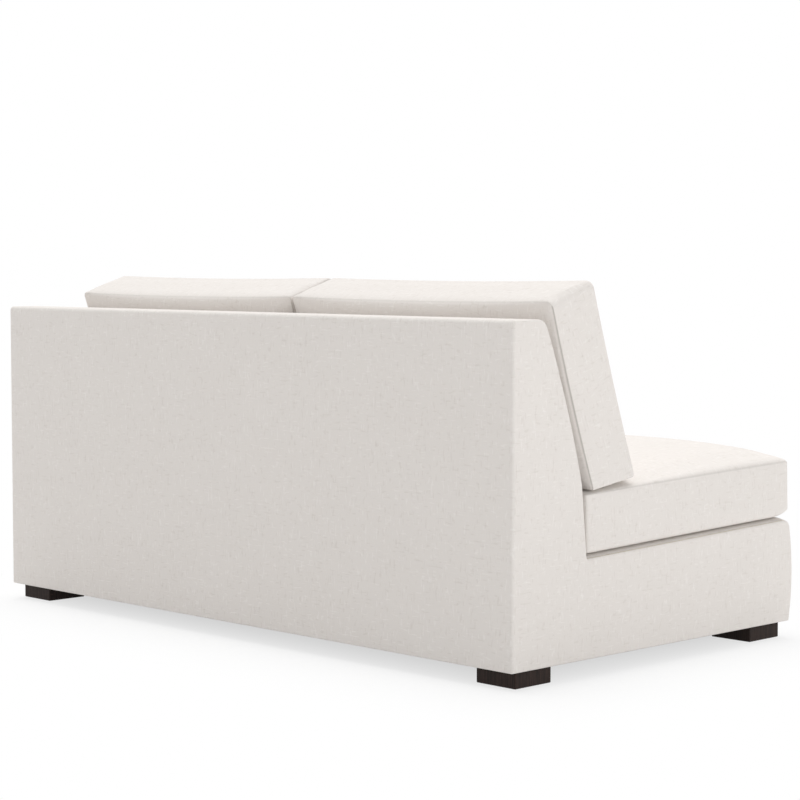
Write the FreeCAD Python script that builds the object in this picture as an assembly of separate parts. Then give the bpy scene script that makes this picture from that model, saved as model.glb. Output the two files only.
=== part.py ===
import FreeCAD, Part
import math
import os
from FreeCAD import Vector

# One-arm upholstered loveseat, millimetres, +Z up, front towards -Y.
# The origin is on the floor under the middle of the width and the depth.
# The arm stands at the +X end, the -X end is open.

# Overall form
WIDTH = 1720.0
DEPTH = 930.0
BACK_HEIGHT = 737.0
FOOT_HEIGHT = 38.0
ARM_WIDTH = 152.0
ARM_HEIGHT = 630.0
BACK_TOP_DEPTH = 95.0
KNEE_HEIGHT = 400.0
KNEE_DEPTH = 209.0
DECK_REAR_HEIGHT = 250.5
DECK_REAR_DEPTH = 224.0
DECK_FRONT_HEIGHT = 274.0
FRONT_SWELL = 6.0
BACK_SWELL = 7.0
EDGE_RADIUS = 6.0
BACK_TOP_RADIUS = 28.0
DECK_EDGE_RADIUS = 26.0

# Layers from the fabric inwards
COVER = 5.0
DUST_CLOTH = 1.0
BOARD = 4.0
BACK_PAD = 20.0
TOP_PAD = 16.0
DECK_PAD = 20.0
FRONT_PAD = 12.0
ARM_PAD = 12.0
ARM_TOP_PAD = 20.0
TAPE = 1.4
WEAVE_GAP = 0.2
BACK_TAPE = 2.5

# Timber
PLY = 18.0
RAIL = 24.0
LOW_RAIL_HEIGHT = 90.0
BLOCK_HEIGHT = 45.0
RIB_COUNT = 2

# Webbing
TAPE_WIDTH = 55.0
SEAT_TAPES = 10
CROSS_TAPES = 5
BACK_TAPES = 11

# Feet and their fixings
FOOT_SIDE = 107.0
FOOT_SETBACK = 25.5
FOOT_EASE = 1.5
GLIDE_HEIGHT = 2.0
GLIDE_DIAMETER = 40.0
BOLT_DIAMETER = 8.0
BOLT_IN_FOOT = 24.0
BOLT_CLEARANCE = 0.4
NUT_BARREL = 11.0
NUT_DEPTH = 12.0
NUT_FLANGE = 24.0
NUT_PLATE = 1.5

# Loose cushions
CUSHION_COUNT = 2
END_SETBACK = 3.0
ARM_CLEARANCE = 2.0
CUSHION_GAP = 3.0
REST_GAP = 0.4
SIDE_DRAW = 4.0
CORE_WRAP = 25.0
SEAT_BOXING = 126.0
SEAT_CROWN = 42.0
SEAT_CREST_REACH = 208.0
SEAT_SHOULDER_REACH = 50.0
SEAT_SHOULDER_RISE = 35.0
SEAT_SHOULDER_SWELL = 9.0
SEAT_CORNER = 14.0
SEAT_BOTTOM_EASE = 6.0
SEAT_FRONT_SETBACK = 1.0
SEAT_REAR_GAP = 3.0
BACK_BOXING = 127.0
BACK_CUSHION_HEIGHT = 412.0
BACK_CORNER = 24.0
BACK_TOP_FULLNESS = 10.0
BACK_CUSHION_SAG = 13.0
BACK_SEAM_STANDOFF = 30.0
BACK_FRONT_CROWN = 45.0
BACK_EDGE_LIP = 3.0
CROWN_SECTIONS = 11
CROWN_POWER = 0.7
CROWN_LEAST = 0.02

# Planes and layers that follow from the sizes above
OPEN_END = -WIDTH / 2
ARM_END = WIDTH / 2
ARM_INNER = ARM_END - ARM_WIDTH
REAR = DEPTH / 2
FRONT = -DEPTH / 2 + FRONT_SWELL
OPEN_LINING = OPEN_END + COVER
ARM_LINING = ARM_END - COVER
ARM_INNER_LINING = ARM_INNER + COVER
OPEN_FRAME = OPEN_LINING + PLY
ARM_FRAME = ARM_LINING - PLY
ARM_PANEL = ARM_INNER_LINING + ARM_PAD
ARM_HOLLOW = ARM_PANEL + PLY
BLOCK_SIDE = ARM_FRAME - ARM_HOLLOW
WEB = 2 * TAPE + WEAVE_GAP
REAR_LAYERS = COVER + BOARD
TOP_LAYERS = COVER + TOP_PAD
BACK_LAYERS = COVER + BACK_PAD + BACK_TAPE
DECK_LAYERS = COVER + DECK_PAD + WEB
FRONT_LAYERS = COVER + FRONT_PAD
ARM_TOP_LAYERS = COVER + ARM_TOP_PAD
FLOOR_BOARD = FOOT_HEIGHT + DUST_CLOTH
FOOT_X = (ARM_HOLLOW + ARM_FRAME) / 2
FOOT_Y = DEPTH / 2 - FOOT_SETBACK - FOOT_SIDE / 2
TOP_FRONT = (REAR - BACK_TOP_DEPTH, BACK_HEIGHT)
KNEE = (REAR - KNEE_DEPTH, KNEE_HEIGHT)
DECK_REAR = (REAR - DECK_REAR_DEPTH, DECK_REAR_HEIGHT)
DECK_FRONT = (FRONT, DECK_FRONT_HEIGHT)
LEAN = math.atan2(TOP_FRONT[0] - KNEE[0], TOP_FRONT[1] - KNEE[1])
DECK_TILT = math.atan2(DECK_FRONT[1] - DECK_REAR[1], DECK_REAR[0] - DECK_FRONT[0])

# Side profile of the body as directed edges in (y, z) with the body on their left
EDGES = {
    "rear": ((REAR, FOOT_HEIGHT), (REAR, BACK_HEIGHT)),
    "top": ((REAR, BACK_HEIGHT), TOP_FRONT),
    "lean": (TOP_FRONT, KNEE),
    "wall": (KNEE, DECK_REAR),
    "deck": (DECK_REAR, DECK_FRONT),
    "front": (DECK_FRONT, (FRONT, FOOT_HEIGHT)),
    "bottom": ((FRONT, FOOT_HEIGHT), (REAR, FOOT_HEIGHT)),
    "arm_top": ((REAR, ARM_HEIGHT), (FRONT, ARM_HEIGHT)),
}


def inset(name, depth):
    """Point and unit direction of a profile edge moved into the body by depth."""
    (ya, za), (yb, zb) = EDGES[name]
    length = math.hypot(yb - ya, zb - za)
    dy = (yb - ya) / length
    dz = (zb - za) / length
    return ya - dz * depth, za + dy * depth, dy, dz


def meet(first, first_depth, second, second_depth):
    """Crossing of two profile edges, each moved into the body by its own depth."""
    ya, za, dy, dz = inset(first, first_depth)
    yb, zb, ey, ez = inset(second, second_depth)
    step = ((yb - ya) * ez - (zb - za) * ey) / (dy * ez - dz * ey)
    return ya + dy * step, za + dz * step


def along(point, name, distance):
    """Point moved by distance in the direction of a profile edge."""
    dy, dz = inset(name, 0.0)[2:]
    return point[0] + dy * distance, point[1] + dz * distance


def at_height(name, depth, z):
    """Point of an inset profile edge at the height z."""
    y, z_start, dy, dz = inset(name, depth)
    return y + dy * (z - z_start) / dz, z


def at_depth(name, depth, y):
    """Point of an inset profile edge at the front-to-back position y."""
    y_start, z, dy, dz = inset(name, depth)
    return y, z + dz * (y - y_start) / dy


def prism(points, x_from, x_to):
    """Polygon of (y, z) points drawn across the width from x_from to x_to."""
    corners = [Vector(x_from, y, z) for y, z in points]
    face = Part.Face(Part.makePolygon(corners + corners[:1]))
    return face.extrude(Vector(x_to - x_from, 0, 0))


def block(x_from, x_to, y_from, y_to, z_from, z_to):
    """Plain block between three pairs of planes."""
    corner = Vector(x_from, y_from, z_from)
    return Part.makeBox(x_to - x_from, y_to - y_from, z_to - z_from, corner)


def pin(diameter, x, y, z_from, z_to):
    """Upright round pin."""
    return Part.makeCylinder(diameter / 2, z_to - z_from, Vector(x, y, z_from))


def swollen_prism(points, swollen, swell, x_from, x_to):
    """Prism whose side from point number swollen to the next bows outwards by swell."""
    sides = []
    for number, (ya, za) in enumerate(points):
        yb, zb = points[(number + 1) % len(points)]
        start = Vector(x_from, ya, za)
        end = Vector(x_from, yb, zb)
        if number == swollen:
            length = math.hypot(yb - ya, zb - za)
            out = Vector(0, (zb - za) / length, (ya - yb) / length)
            middle = (start + end) * 0.5 + out * swell
            sides.append(Part.Arc(start, middle, end).toShape())
        else:
            sides.append(Part.makeLine(start, end))
    return Part.Face(Part.Wire(sides)).extrude(Vector(x_to - x_from, 0, 0))


def edges_at(solid, test):
    """Edges of a solid whose two ends both pass the test."""
    return [edge for edge in solid.Edges if all(test(v.Point) for v in edge.Vertexes)]


def close(a, b):
    return abs(a - b) < 0.001


def body_form():
    """Upholstered outside of the body: back, seat base and arm as one rounded form."""
    rear_floor = (REAR, FOOT_HEIGHT)
    under_deck = (DECK_REAR[0], FOOT_HEIGHT)
    back = swollen_prism([rear_floor, (REAR, BACK_HEIGHT), TOP_FRONT, KNEE, DECK_REAR, under_deck],
                         2, BACK_SWELL, OPEN_END, ARM_END)
    seat = swollen_prism([under_deck, DECK_REAR, DECK_FRONT, (FRONT, FOOT_HEIGHT)],
                         2, FRONT_SWELL, OPEN_END, ARM_INNER)
    inside_back = TOP_FRONT[0]
    arm = swollen_prism([(inside_back, FOOT_HEIGHT), (inside_back, ARM_HEIGHT),
                         (FRONT, ARM_HEIGHT), (FRONT, FOOT_HEIGHT)],
                        2, FRONT_SWELL, ARM_INNER, ARM_END)
    form = back.fuse([seat, arm]).removeSplitter().Solids[0]
    form = form.makeFillet(BACK_TOP_RADIUS, edges_at(
        form, lambda p: close(p.y, TOP_FRONT[0]) and close(p.z, BACK_HEIGHT)))
    form = form.makeFillet(DECK_EDGE_RADIUS, edges_at(
        form, lambda p: close(p.y, FRONT) and close(p.z, DECK_FRONT_HEIGHT)))

    def soft_edge(p):
        return p.z > FOOT_HEIGHT + EDGE_RADIUS

    rims = [edge for end in (OPEN_END, ARM_END)
            for edge in edges_at(form, lambda p: close(p.x, end))
            if any(soft_edge(v.Point) for v in edge.Vertexes)]
    rims += edges_at(form, lambda p: close(p.y, REAR) and close(p.z, BACK_HEIGHT))
    rims += edges_at(form, lambda p: close(p.x, ARM_INNER) and close(p.z, ARM_HEIGHT))
    rims += edges_at(form, lambda p: close(p.y, FRONT) and close(p.z, ARM_HEIGHT))
    rims += [edge for edge in edges_at(form, lambda p: close(p.x, ARM_INNER) and close(p.y, FRONT))
             if any(close(v.Point.z, ARM_HEIGHT) for v in edge.Vertexes)]
    unique = {edge.hashCode(): edge for edge in rims}
    return form.makeFillet(EDGE_RADIUS, list(unique.values()))


def back_top_bevel():
    """The two corners of the padding under the rounded top front edge of the back."""
    corner = meet("top", COVER, "lean", COVER)
    reach = BACK_TOP_RADIUS / 2
    return along(corner, "top", -reach), along(corner, "lean", reach)


def deck_bevel():
    """The two corners of the padding under the rounded front edge of the deck."""
    corner = meet("deck", COVER, "front", COVER)
    reach = DECK_EDGE_RADIUS / 2
    return along(corner, "deck", -reach), along(corner, "front", reach)


def linings():
    """Inside of the fabric: the room for padding and frame, open at the bottom."""
    floor_rear = meet("rear", COVER, "bottom", 0)
    wall_foot = meet("wall", COVER, "deck", COVER)
    back = prism([floor_rear, meet("rear", COVER, "top", COVER), *back_top_bevel(),
                  meet("lean", COVER, "wall", COVER), wall_foot, (wall_foot[0], FOOT_HEIGHT)],
                 OPEN_LINING, ARM_LINING)
    seat = prism([(wall_foot[0], FOOT_HEIGHT), wall_foot, *deck_bevel(),
                  meet("front", COVER, "bottom", 0)],
                 OPEN_LINING, ARM_INNER_LINING)
    arm = prism([(TOP_FRONT[0], FOOT_HEIGHT), at_depth("arm_top", COVER, TOP_FRONT[0]),
                 meet("arm_top", COVER, "front", COVER), meet("front", COVER, "bottom", 0)],
                ARM_INNER_LINING, ARM_LINING)
    return [back, seat, arm]


def covers():
    """Fabric panels: the shell between the outside form and the linings, cut at its sewing lines."""
    shell = body_form().cut(linings())
    far = WIDTH
    open_seam = OPEN_END + EDGE_RADIUS
    arm_seam = ARM_END - EDGE_RADIUS
    rear_seam = REAR - EDGE_RADIUS
    front_seam = FRONT + DECK_EDGE_RADIUS
    arm_front_seam = FRONT + EDGE_RADIUS
    panels = {}
    panels["open_end_cover"] = shell.common(block(-far, open_seam, -far, far, 0, far))
    panels["arm_end_cover"] = shell.common(block(arm_seam, far, -far, far, 0, far))
    middle = shell.common(block(open_seam, arm_seam, -far, far, 0, far))
    panels["outside_back_cover"] = middle.common(block(-far, far, rear_seam, far, 0, far))
    middle = middle.common(block(-far, far, -far, rear_seam, 0, far))
    arm_zone = block(ARM_INNER, far, -far, far, 0, ARM_HEIGHT)
    arm = middle.common(arm_zone)
    panels["arm_front_cover"] = arm.common(block(-far, far, -far, arm_front_seam, 0, far))
    panels["arm_cover"] = arm.common(block(-far, far, arm_front_seam, far, 0, far))
    middle = middle.cut(arm_zone)
    under_deck = prism([at_depth("deck", 0, far), at_depth("deck", 0, front_seam),
                        (front_seam, 0), (far, 0)], -far, far)
    front_zone = block(-far, far, -far, front_seam, 0, far)
    panels["front_border_cover"] = middle.common(front_zone)
    panels["deck_cover"] = middle.common(under_deck)
    panels["inside_back_cover"] = middle.cut([front_zone, under_deck])
    return panels


def pads():
    """Foam and wadding between the fabric and the frame."""
    top_layer = meet("top", TOP_LAYERS, "lean", COVER)
    rear_corner = meet("rear", COVER, "top", COVER)
    top_pad = prism([meet("rear", COVER, "top", TOP_LAYERS), rear_corner, *back_top_bevel(), top_layer],
                    OPEN_LINING, ARM_LINING)
    inner = COVER + BACK_PAD
    back_pad = prism([top_layer, meet("lean", COVER, "wall", COVER), meet("wall", COVER, "deck", COVER),
                      meet("wall", inner, "deck", COVER), meet("lean", inner, "wall", inner),
                      meet("top", TOP_LAYERS, "lean", inner)],
                     OPEN_LINING, ARM_LINING)
    back_pad = back_pad.cut(block(ARM_PANEL, WIDTH, -DEPTH, DEPTH, 0, ARM_HEIGHT - COVER))
    under = COVER + DECK_PAD
    deck_rear = at_depth("deck", COVER, meet("wall", inner, "deck", COVER)[0])
    deck_pad = prism([deck_rear, *deck_bevel(), meet("front", COVER, "deck", under),
                      at_depth("deck", under, deck_rear[0])],
                     OPEN_LINING, ARM_INNER_LINING)
    deck_side = prism([deck_rear, meet("deck", COVER, "front", FRONT_LAYERS),
                       meet("front", FRONT_LAYERS, "deck", under), at_depth("deck", under, deck_rear[0])],
                      ARM_INNER_LINING, ARM_PANEL)
    front_pad = prism([meet("front", COVER, "deck", under), meet("front", COVER, "bottom", DUST_CLOTH),
                       meet("front", FRONT_LAYERS, "bottom", DUST_CLOTH),
                       meet("front", FRONT_LAYERS, "deck", under)],
                      OPEN_LINING, ARM_INNER_LINING)
    arm_pad = prism([meet("deck", COVER, "front", FRONT_LAYERS), meet("wall", COVER, "deck", COVER),
                     meet("lean", COVER, "wall", COVER), meet("lean", COVER, "arm_top", ARM_TOP_LAYERS),
                     meet("arm_top", ARM_TOP_LAYERS, "front", FRONT_LAYERS)],
                    ARM_INNER_LINING, ARM_PANEL)
    arm_top_pad = prism([meet("lean", COVER, "arm_top", ARM_TOP_LAYERS),
                         meet("lean", COVER, "arm_top", COVER),
                         meet("arm_top", COVER, "front", COVER),
                         meet("arm_top", ARM_TOP_LAYERS, "front", COVER)],
                        ARM_INNER_LINING, ARM_LINING)
    arm_front_pad = prism([meet("arm_top", ARM_TOP_LAYERS, "front", COVER),
                           meet("front", COVER, "bottom", DUST_CLOTH),
                           meet("front", FRONT_LAYERS, "bottom", DUST_CLOTH),
                           meet("arm_top", ARM_TOP_LAYERS, "front", FRONT_LAYERS)],
                          ARM_INNER_LINING, ARM_LINING)
    return {"top_pad": top_pad, "back_pad": back_pad, "deck_pad": deck_pad.fuse(deck_side).removeSplitter(),
            "front_pad": front_pad, "arm_pad": arm_pad, "arm_top_pad": arm_top_pad,
            "arm_front_pad": arm_front_pad}


def frame():
    """Timber frame: cut plywood ends, rails between them and notched ribs in the back."""
    floor_rear = meet("rear", REAR_LAYERS, "bottom", DUST_CLOTH)
    floor_front = meet("front", FRONT_LAYERS, "bottom", DUST_CLOTH)
    top_rear = meet("rear", REAR_LAYERS, "top", TOP_LAYERS)
    top_front = meet("top", TOP_LAYERS, "lean", BACK_LAYERS)
    knee = meet("lean", BACK_LAYERS, "wall", BACK_LAYERS)
    seat_rear = meet("wall", BACK_LAYERS, "deck", DECK_LAYERS)
    rail_inner = COVER + FRONT_PAD + RAIL
    rail_back = meet("front", rail_inner, "bottom", DUST_CLOTH)[0]
    parts = {}
    parts["open_end_frame"] = prism([floor_rear, top_rear, top_front, knee, seat_rear,
                                     meet("deck", DECK_LAYERS, "front", FRONT_LAYERS), floor_front],
                                    OPEN_LINING, OPEN_FRAME)
    parts["arm_end_frame"] = prism([floor_rear, top_rear, top_front,
                                    meet("lean", BACK_LAYERS, "arm_top", ARM_TOP_LAYERS),
                                    meet("arm_top", ARM_TOP_LAYERS, "front", FRONT_LAYERS), floor_front],
                                   ARM_FRAME, ARM_LINING)
    parts["front_rail"] = prism([floor_front, (rail_back, FLOOR_BOARD),
                                 at_depth("deck", DECK_LAYERS, rail_back),
                                 meet("deck", DECK_LAYERS, "front", FRONT_LAYERS)],
                                OPEN_FRAME, ARM_PANEL)
    seat_rail_back = seat_rear[0] + RAIL
    parts["rear_seat_rail"] = prism([(seat_rear[0], FLOOR_BOARD), (seat_rail_back, FLOOR_BOARD),
                                     at_depth("deck", DECK_LAYERS, seat_rail_back), seat_rear],
                                    OPEN_FRAME, ARM_PANEL)
    parts["rear_bottom_rail"] = block(OPEN_FRAME, ARM_FRAME, floor_rear[0] - RAIL, floor_rear[0],
                                      FLOOR_BOARD, FLOOR_BOARD + LOW_RAIL_HEIGHT)
    parts["back_top_rail"] = prism([top_rear, top_front, meet("top", TOP_LAYERS + RAIL, "lean", BACK_LAYERS),
                                    meet("rear", REAR_LAYERS, "top", TOP_LAYERS + RAIL)],
                                   OPEN_FRAME, ARM_FRAME)
    low_face = at_height("wall", BACK_LAYERS, knee[1] - LOW_RAIL_HEIGHT)
    parts["back_low_rail"] = prism([knee, low_face, (low_face[0] + RAIL, low_face[1]),
                                    (knee[0] + RAIL, knee[1])],
                                   OPEN_FRAME, ARM_PANEL)
    panel = prism([floor_front, floor_rear, at_depth("arm_top", ARM_TOP_LAYERS, floor_rear[0]),
                   meet("arm_top", ARM_TOP_LAYERS, "front", FRONT_LAYERS)], ARM_PANEL, ARM_HOLLOW)
    parts["arm_panel"] = panel.cut(parts["rear_bottom_rail"])
    arm_top = ARM_HEIGHT - ARM_TOP_LAYERS
    arm_front = floor_front[0]
    arm_rear = meet("lean", COVER, "arm_top", ARM_TOP_LAYERS + RAIL)[0]
    parts["arm_top_rail"] = block(ARM_HOLLOW, ARM_FRAME, arm_front, arm_rear, arm_top - RAIL, arm_top)
    parts["arm_front_board"] = block(ARM_HOLLOW, ARM_FRAME, arm_front, rail_back,
                                     FLOOR_BOARD, arm_top - RAIL)
    parts["seat_side_rail"] = prism([at_depth("deck", DECK_LAYERS, rail_back), seat_rear,
                                     at_depth("deck", DECK_LAYERS + LOW_RAIL_HEIGHT, seat_rear[0]),
                                     at_depth("deck", DECK_LAYERS + LOW_RAIL_HEIGHT, rail_back)],
                                    ARM_PANEL - RAIL, ARM_PANEL)
    middle = (OPEN_FRAME + ARM_PANEL) / 2
    parts["seat_stretcher"] = block(middle - RAIL / 2, middle + RAIL / 2, rail_back, seat_rear[0],
                                    FLOOR_BOARD, FLOOR_BOARD + LOW_RAIL_HEIGHT)
    seat_notch = prism([(seat_rear[0], FLOOR_BOARD), (seat_rail_back, FLOOR_BOARD),
                        at_depth("deck", COVER + DECK_PAD, seat_rail_back),
                        at_depth("deck", COVER + DECK_PAD, seat_rear[0])],
                       OPEN_FRAME, ARM_PANEL)
    notches = [seat_notch, parts["rear_bottom_rail"], parts["back_low_rail"]]
    rib_spacing = (ARM_PANEL - OPEN_FRAME) / (RIB_COUNT + 1)
    for number in range(RIB_COUNT):
        x = OPEN_FRAME + rib_spacing * (number + 1)
        rib = prism([(seat_rear[0], FLOOR_BOARD), floor_rear,
                     meet("rear", REAR_LAYERS, "top", TOP_LAYERS + RAIL),
                     meet("top", TOP_LAYERS + RAIL, "lean", BACK_LAYERS), knee, seat_rear],
                    x - PLY / 2, x + PLY / 2)
        parts["back_rib_%d" % (number + 1)] = rib.cut(notches)
    parts["back_board"] = prism([meet("rear", COVER, "bottom", DUST_CLOTH),
                                 meet("rear", COVER, "top", TOP_LAYERS),
                                 top_rear, floor_rear], OPEN_LINING, ARM_LINING)
    return parts


def tape(path, thickness, width):
    """Flat strap: a path, its copy moved by the thickness vector, drawn out by the width vector."""
    outline = path + [point + thickness for point in reversed(path)]
    return Part.Face(Part.makePolygon(outline + outline[:1])).extrude(width)


def spread(first, last, count):
    """Centres of count straps set evenly between two lines."""
    pitch = (last - first) / count
    return [first + pitch * (number + 0.5) for number in range(count)]


def woven_path(start, end, crossings, over_first):
    """Distances and levels of a strap that lies low at both ends and goes over every second crossing."""
    flat = TAPE_WIDTH / 2 + 4 * WEB
    steps = [(start, False), (crossings[0] - 3 * flat / 2, False)]
    for number, centre in enumerate(crossings):
        over = (number % 2 == 0) == over_first
        steps += [(centre - flat, over), (centre + flat, over)]
    return steps + [(crossings[-1] + 3 * flat / 2, False), (end, False)]


def webbing():
    """Elastic straps: a woven seat under the deck pad and upright straps behind the back pad."""
    low = COVER + DECK_PAD + TAPE + WEAVE_GAP
    high = COVER + DECK_PAD
    tilt_out = Vector(0, -math.cos(DECK_TILT), math.sin(DECK_TILT))
    tilt_down = Vector(0, -math.sin(DECK_TILT), -math.cos(DECK_TILT))
    front_y = meet("front", FRONT_LAYERS, "deck", DECK_LAYERS)[0] + WEAVE_GAP
    rear_y = meet("wall", BACK_LAYERS, "deck", DECK_LAYERS)[0] + RAIL - WEAVE_GAP
    rail_y = front_y + RAIL
    seat_x = spread(OPEN_FRAME, ARM_PANEL - RAIL, SEAT_TAPES)
    cross_y = spread(rail_y, rear_y - RAIL, CROSS_TAPES)
    long_straps = []
    for number, x in enumerate(seat_x):
        steps = woven_path(front_y, rear_y, cross_y, number % 2 == 0)
        path = [Vector(x - TAPE_WIDTH / 2, *at_depth("deck", high if over else low, y)) for y, over in steps]
        long_straps.append(tape(path, tilt_down * TAPE, Vector(TAPE_WIDTH, 0, 0)))
    cross_straps = []
    for number, y in enumerate(cross_y):
        steps = woven_path(OPEN_LINING, ARM_PANEL, seat_x, number % 2 == 1)
        edge = at_depth("deck", 0, y + TAPE_WIDTH / 2 * math.cos(DECK_TILT))
        path = [Vector(x, *edge) + tilt_down * (high if over else low) for x, over in steps]
        cross_straps.append(tape(path, tilt_down * TAPE, tilt_out * TAPE_WIDTH))
    face = COVER + BACK_PAD
    upper = meet("top", TOP_LAYERS, "lean", face)
    bend = meet("lean", face, "wall", face)
    inner_bend = meet("lean", BACK_LAYERS, "wall", BACK_LAYERS)
    lower_z = inner_bend[1] - LOW_RAIL_HEIGHT
    profile = [upper, bend, at_height("wall", face, lower_z), at_height("wall", BACK_LAYERS, lower_z),
               inner_bend, meet("top", TOP_LAYERS, "lean", BACK_LAYERS)]
    back_straps = [prism(profile, x - TAPE_WIDTH / 2, x + TAPE_WIDTH / 2)
                   for x in spread(OPEN_FRAME, ARM_PANEL, BACK_TAPES)]
    return {"seat_straps": Part.makeCompound(long_straps), "cross_straps": Part.makeCompound(cross_straps),
            "back_straps": Part.makeCompound(back_straps)}


def foot_places():
    """Middle of each foot with the name of its corner."""
    return [("%s_%s" % (depth_name, width_name), x, y)
            for width_name, x in (("open", -FOOT_X), ("arm", FOOT_X))
            for depth_name, y in (("front", -FOOT_Y), ("rear", FOOT_Y))]


def feet():
    """Square block feet on glides, each held by a stud in a corner block's tee nut."""
    parts = {}
    bore = BOLT_DIAMETER + 2 * BOLT_CLEARANCE
    nut_bore = NUT_BARREL + 2 * BOLT_CLEARANCE
    floor_front = meet("front", FRONT_LAYERS + RAIL, "bottom", DUST_CLOTH)[0]
    floor_rear = meet("rear", REAR_LAYERS + RAIL, "bottom", DUST_CLOTH)[0]
    block_top = FLOOR_BOARD + BLOCK_HEIGHT
    blocks = []
    bolts = []
    nuts = []
    glides = []
    dust_cloth = prism([meet("front", COVER, "bottom", 0), meet("rear", COVER, "bottom", 0),
                        meet("rear", COVER, "bottom", DUST_CLOTH),
                        meet("front", COVER, "bottom", DUST_CLOTH)],
                       OPEN_LINING, ARM_LINING)
    half = FOOT_SIDE / 2
    for name, x, y in foot_places():
        foot = block(x - half, x + half, y - half, y + half, GLIDE_HEIGHT, FOOT_HEIGHT)
        corners = edges_at(foot, lambda p: not close(p.z, FOOT_HEIGHT))
        corners += [edge for edge in foot.Edges
                    if not close(edge.Vertexes[0].Point.z, edge.Vertexes[-1].Point.z)]
        foot = foot.makeChamfer(FOOT_EASE, corners)
        parts["foot_" + name] = foot.cut(pin(bore, x, y, FOOT_HEIGHT - BOLT_IN_FOOT, FOOT_HEIGHT))
        glides.append(pin(GLIDE_DIAMETER, x, y, 0, GLIDE_HEIGHT))
        bolts.append(pin(BOLT_DIAMETER, x, y, FOOT_HEIGHT - BOLT_IN_FOOT, block_top))
        y_from = floor_front if y < 0 else floor_rear - BLOCK_SIDE
        timber = block(x - BLOCK_SIDE / 2, x + BLOCK_SIDE / 2, y_from, y_from + BLOCK_SIDE,
                       FLOOR_BOARD, block_top)
        blocks.append(timber.cut(pin(nut_bore, x, y, FLOOR_BOARD, block_top)))
        nut = pin(NUT_BARREL, x, y, block_top - NUT_DEPTH, block_top)
        plate = block(x - NUT_FLANGE / 2, x + NUT_FLANGE / 2, y - NUT_FLANGE / 2, y + NUT_FLANGE / 2,
                      block_top, block_top + NUT_PLATE)
        nuts.append(nut.fuse(plate).cut(pin(bore, x, y, FLOOR_BOARD, block_top + NUT_PLATE)))
        dust_cloth = dust_cloth.cut(pin(bore, x, y, FOOT_HEIGHT, FLOOR_BOARD))
    parts["glides"] = Part.makeCompound(glides)
    parts["foot_bolts"] = Part.makeCompound(bolts)
    parts["corner_blocks"] = Part.makeCompound(blocks)
    parts["tee_nuts"] = Part.makeCompound(nuts)
    parts["dust_cloth"] = dust_cloth
    return parts


def cushion_outline(half_width, half_length, corner, draws, shift, level):
    """Closed outline with rounded corners at the given level, moved along its length by shift.

    The draws are how far the right, top, left and bottom sides bow inwards between the corners.
    """
    turn = corner * (1 - math.sqrt(0.5))
    edges = []
    for number, draw in enumerate(draws):
        out = Vector(1, 0, 0) if number % 2 == 0 else Vector(0, 1, 0)
        run = Vector(0, 1, 0) if number % 2 == 0 else Vector(-1, 0, 0)
        if number > 1:
            out = -out
            run = -run
        reach = half_width if number % 2 == 0 else half_length
        half_run = half_length if number % 2 == 0 else half_width
        start = out * reach - run * (half_run - corner)
        end = out * reach + run * (half_run - corner)
        around = out * (reach - turn) + run * (half_run - turn)
        leave = out * (reach - corner) + run * half_run
        if close(draw, 0):
            edges.append(Part.makeLine(start, end))
        else:
            edges.append(Part.Arc(start, out * (reach - draw), end).toShape())
        edges.append(Part.Arc(end, around, leave).toShape())
    wire = Part.Wire(edges)
    wire.translate(Vector(0, shift, level))
    return wire


def bowed(start, end, swell):
    """Start, middle and end of a bow between two (along, rise) points that swells upwards."""
    run = end[0] - start[0]
    climb = end[1] - start[1]
    length = math.hypot(run, climb)
    middle_reach = (start[0] + end[0]) / 2 - climb / length * swell
    middle_rise = (start[1] + end[1]) / 2 + run / length * swell
    return start, (middle_reach, middle_rise), end


def crown_section(w, faces, half_width):
    """Cross-section of a cushion at the distance w from its middle: two faces and straight sides.

    A face has a level, a sign and its bows at the full crown, which is lower towards the cushion's ends.
    """
    arch = max((1 - (w / half_width) ** 2) ** CROWN_POWER, CROWN_LEAST)
    ends = []
    edges = []
    for level, sign, bows in faces:
        corners = [[Vector(w, reach, level + sign * rise * arch) for reach, rise in bow] for bow in bows]
        for start, middle, end in corners:
            flat = close(bows[0][1][1], 0)
            edges.append(Part.makeLine(start, end) if flat else Part.Arc(start, middle, end).toShape())
        ends.append((corners[0][0], corners[-1][-1]))
    edges += [Part.makeLine(ends[0][number], ends[1][number]) for number in range(2)]
    return Part.Wire(Part.__sortEdges__(edges))


def crowned_form(faces, half_width):
    """Loft through cross-sections whose crowns die away to the two ends of the cushion."""
    turns = [math.pi * number / (CROWN_SECTIONS - 1) for number in range(CROWN_SECTIONS)]
    sections = [crown_section(-half_width * math.cos(turn), faces, half_width) for turn in turns]
    return Part.makeLoft(sections, True, False)


def placed(shape, along_vector, face_vector, origin):
    """Shape whose own y and z axes are turned to the two vectors and whose zero goes to origin."""
    across = along_vector.cross(face_vector)
    turn = FreeCAD.Matrix(across.x, along_vector.x, face_vector.x, origin.x,
                          across.y, along_vector.y, face_vector.y, origin.y,
                          across.z, along_vector.z, face_vector.z, origin.z,
                          0, 0, 0, 1)
    moved = shape.copy()
    moved.Placement = FreeCAD.Placement(turn)
    return moved


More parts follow.
